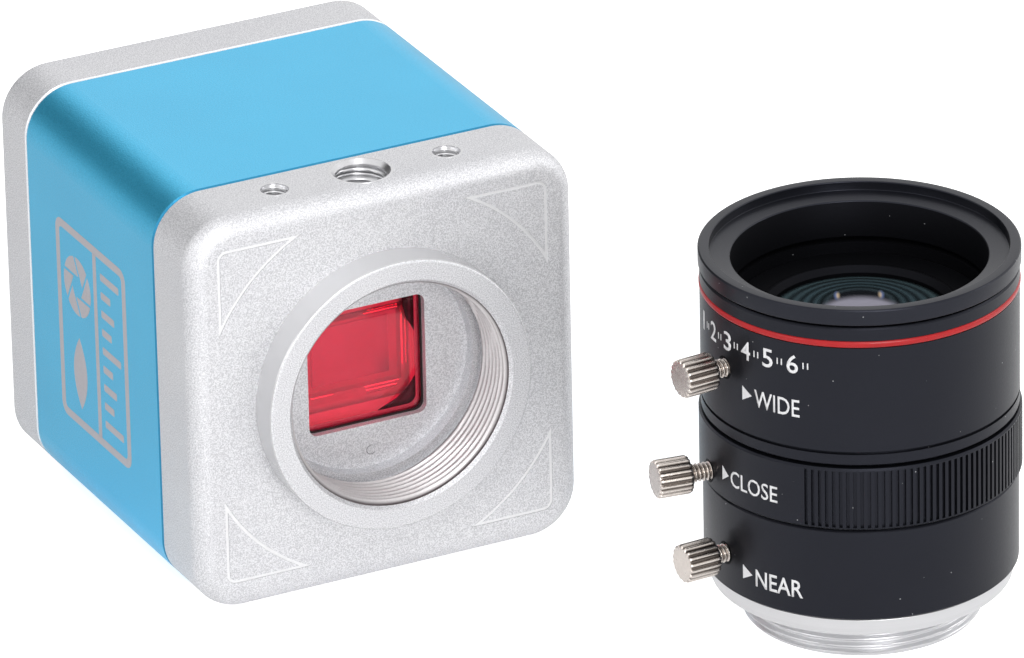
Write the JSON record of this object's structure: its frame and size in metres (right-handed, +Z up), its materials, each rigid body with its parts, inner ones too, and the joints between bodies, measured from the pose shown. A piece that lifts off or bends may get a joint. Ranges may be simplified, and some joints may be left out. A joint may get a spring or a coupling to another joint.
{
  "type": "usb camera",
  "caption": "Square USB camera head with a screw lens mount and top tapped holes, and its zoom lens with turning zoom, iris and focus rings standing beside it on its thread.",
  "frame": {"origin": "middle of the underside of the camera head", "axes": "+Z up; the head looks along -Y; +X is to the right seen from the front, where the lens stands"},
  "size_m": [0.0796, 0.0945, 0.045],
  "materials": {
    "cast_aluminium": "fine bead-blasted, clear anodised",
    "blue_anodised": "satin blue anodised aluminium",
    "steel_screw": "plain steel",
    "nickel": "nickel plated",
    "black_metal": "satin black anodised",
    "red_line": "gloss red",
    "bright_flange": "turned and clear anodised",
    "black_rubber": "matt",
    "black_plastic": "matt",
    "red_filter": "red-tinted filter glass",
    "clear_glass": "coated optical glass",
    "ceramic_package": "alumina",
    "silicon": "polished chip",
    "green_board": "solder mask on glass epoxy",
    "chip_resin": "moulded resin",
    "brass_spacer": "plain brass",
    "lamp_rod": "clear rod",
    "blade_steel": "blackened spring steel"
  },
  "bodies": {
    "root": {"front_shell": "cast_aluminium", "sleeve": "blue_anodised", "rear_cover": "cast_aluminium", "case_screws": "steel_screw", "filter_gasket": "black_rubber", "window_filter": "red_filter", "filter_frame": "black_plastic", "sensor_package": "ceramic_package", "sensor_chip": "silicon", "sensor_glass": "clear_glass", "sensor_board": "green_board", "processor_board": "green_board", "interface_board": "green_board", "front_spacers": "brass_spacer", "rear_spacers": "brass_spacer", "stack_screws": "steel_screw", "front_board_header": "black_plastic", "rear_board_header": "black_plastic", "processor_chip": "chip_resin", "memory_chip_left": "chip_resin", "memory_chip_right": "chip_resin", "interface_chip": "chip_resin", "usb_socket_shell": "steel_screw", "usb_socket_tongue": "black_plastic", "status_lamp": "lamp_rod", "lens_mount": "bright_flange", "lens_barrel": "black_metal", "iris_base": "black_metal", "iris_retainer": "black_metal"},
    "zoom_ring": {"zoom_ring": "black_metal", "accent_ring": "red_line", "front_bezel": "black_metal"},
    "iris_ring": {"iris_ring": "black_metal", "iris_drive_pin": "steel_screw", "iris_drive_plate": "black_metal"},
    "focus_ring": {"focus_ring": "black_metal"},
    "zoom_lock_screw": {"zoom_lock_screw": "nickel"},
    "iris_lock_screw": {"iris_lock_screw": "nickel"},
    "focus_lock_screw": {"focus_lock_screw": "nickel"},
    "front_group": {"front_cell": "black_metal", "front_element": "clear_glass", "second_element": "clear_glass", "front_spacer_ring": "black_metal", "front_retainer": "black_metal", "zoom_pins": "steel_screw"},
    "rear_group": {"rear_cell": "black_metal", "rear_element": "clear_glass", "middle_element": "clear_glass", "rear_spacer_ring": "black_metal", "rear_retainer": "black_metal", "focus_pins": "steel_screw"},
    "iris_blade_1": {"iris_blade_1": "blade_steel"},
    "iris_blade_2": {"iris_blade_2": "blade_steel"},
    "iris_blade_3": {"iris_blade_3": "blade_steel"},
    "iris_blade_4": {"iris_blade_4": "blade_steel"},
    "iris_blade_5": {"iris_blade_5": "blade_steel"},
    "iris_blade_6": {"iris_blade_6": "blade_steel"}
  },
  "joints": [
    {"name": "zoom_turn", "type": "hinge", "parent": "root", "child": "zoom_ring", "pos_m": [0.0402, -0.05395, 0], "axis": [0, 0, 1], "range_deg": [-35, 35]},
    {"name": "iris_turn", "type": "hinge", "parent": "root", "child": "iris_ring", "pos_m": [0.0402, -0.05395, 0], "axis": [0, 0, 1], "range_deg": [-25, 25]},
    {"name": "focus_turn", "type": "hinge", "parent": "root", "child": "focus_ring", "pos_m": [0.0402, -0.05395, 0], "axis": [0, 0, 1], "range_deg": [-40, 40]},
    {"name": "front_group_slide", "type": "slide", "parent": "root", "child": "front_group", "axis": [0, 0, 1], "range_m": [-0.00098, 0.00098]},
    {"name": "rear_group_slide", "type": "slide", "parent": "root", "child": "rear_group", "axis": [0, 0, 1], "range_m": [-0.00119, 0.00119]},
    {"name": "zoom_lock_turn", "type": "hinge", "parent": "zoom_ring", "child": "zoom_lock_screw", "pos_m": [0.0236, -0.05523, 0.0318], "axis": [-0.9971, -0.0767, 0], "range_deg": [-180, 180]},
    {"name": "iris_lock_turn", "type": "hinge", "parent": "iris_ring", "child": "iris_lock_screw", "pos_m": [0.02345, -0.05174, 0.01855], "axis": [-0.9914, 0.1305, 0], "range_deg": [-180, 180]},
    {"name": "focus_lock_turn", "type": "hinge", "parent": "focus_ring", "child": "focus_lock_screw", "pos_m": [0.02367, -0.05479, 0.0103], "axis": [-0.9987, -0.0506, 0], "range_deg": [-180, 180]},
    {"name": "iris_blade_1_swing", "type": "hinge", "parent": "root", "child": "iris_blade_1", "pos_m": [0.0518, -0.05395, 0.018], "axis": [0, 0, 1], "range_deg": [-14, 14]},
    {"name": "iris_blade_2_swing", "type": "hinge", "parent": "root", "child": "iris_blade_2", "pos_m": [0.046, -0.0439, 0.018], "axis": [0, 0, 1], "range_deg": [-14, 14]},
    {"name": "iris_blade_3_swing", "type": "hinge", "parent": "root", "child": "iris_blade_3", "pos_m": [0.0344, -0.0439, 0.018], "axis": [0, 0, 1], "range_deg": [-14, 14]},
    {"name": "iris_blade_4_swing", "type": "hinge", "parent": "root", "child": "iris_blade_4", "pos_m": [0.0286, -0.05395, 0.018], "axis": [0, 0, 1], "range_deg": [-14, 14]},
    {"name": "iris_blade_5_swing", "type": "hinge", "parent": "root", "child": "iris_blade_5", "pos_m": [0.0344, -0.064, 0.018], "axis": [0, 0, 1], "range_deg": [-14, 14]},
    {"name": "iris_blade_6_swing", "type": "hinge", "parent": "root", "child": "iris_blade_6", "pos_m": [0.046, -0.064, 0.018], "axis": [0, 0, 1], "range_deg": [-14, 14]}
  ],
  "couplings": [
    {"joint": "front_group_slide", "follows": "zoom_turn", "m_per_rad": 0.0016},
    {"joint": "rear_group_slide", "follows": "focus_turn", "m_per_rad": 0.0017},
    {"joint": "iris_blade_1_swing", "follows": "iris_turn", "ratio": 0.56},
    {"joint": "iris_blade_2_swing", "follows": "iris_turn", "ratio": 0.56},
    {"joint": "iris_blade_3_swing", "follows": "iris_turn", "ratio": 0.56},
    {"joint": "iris_blade_4_swing", "follows": "iris_turn", "ratio": 0.56},
    {"joint": "iris_blade_5_swing", "follows": "iris_turn", "ratio": 0.56},
    {"joint": "iris_blade_6_swing", "follows": "iris_turn", "ratio": 0.56}
  ]
}
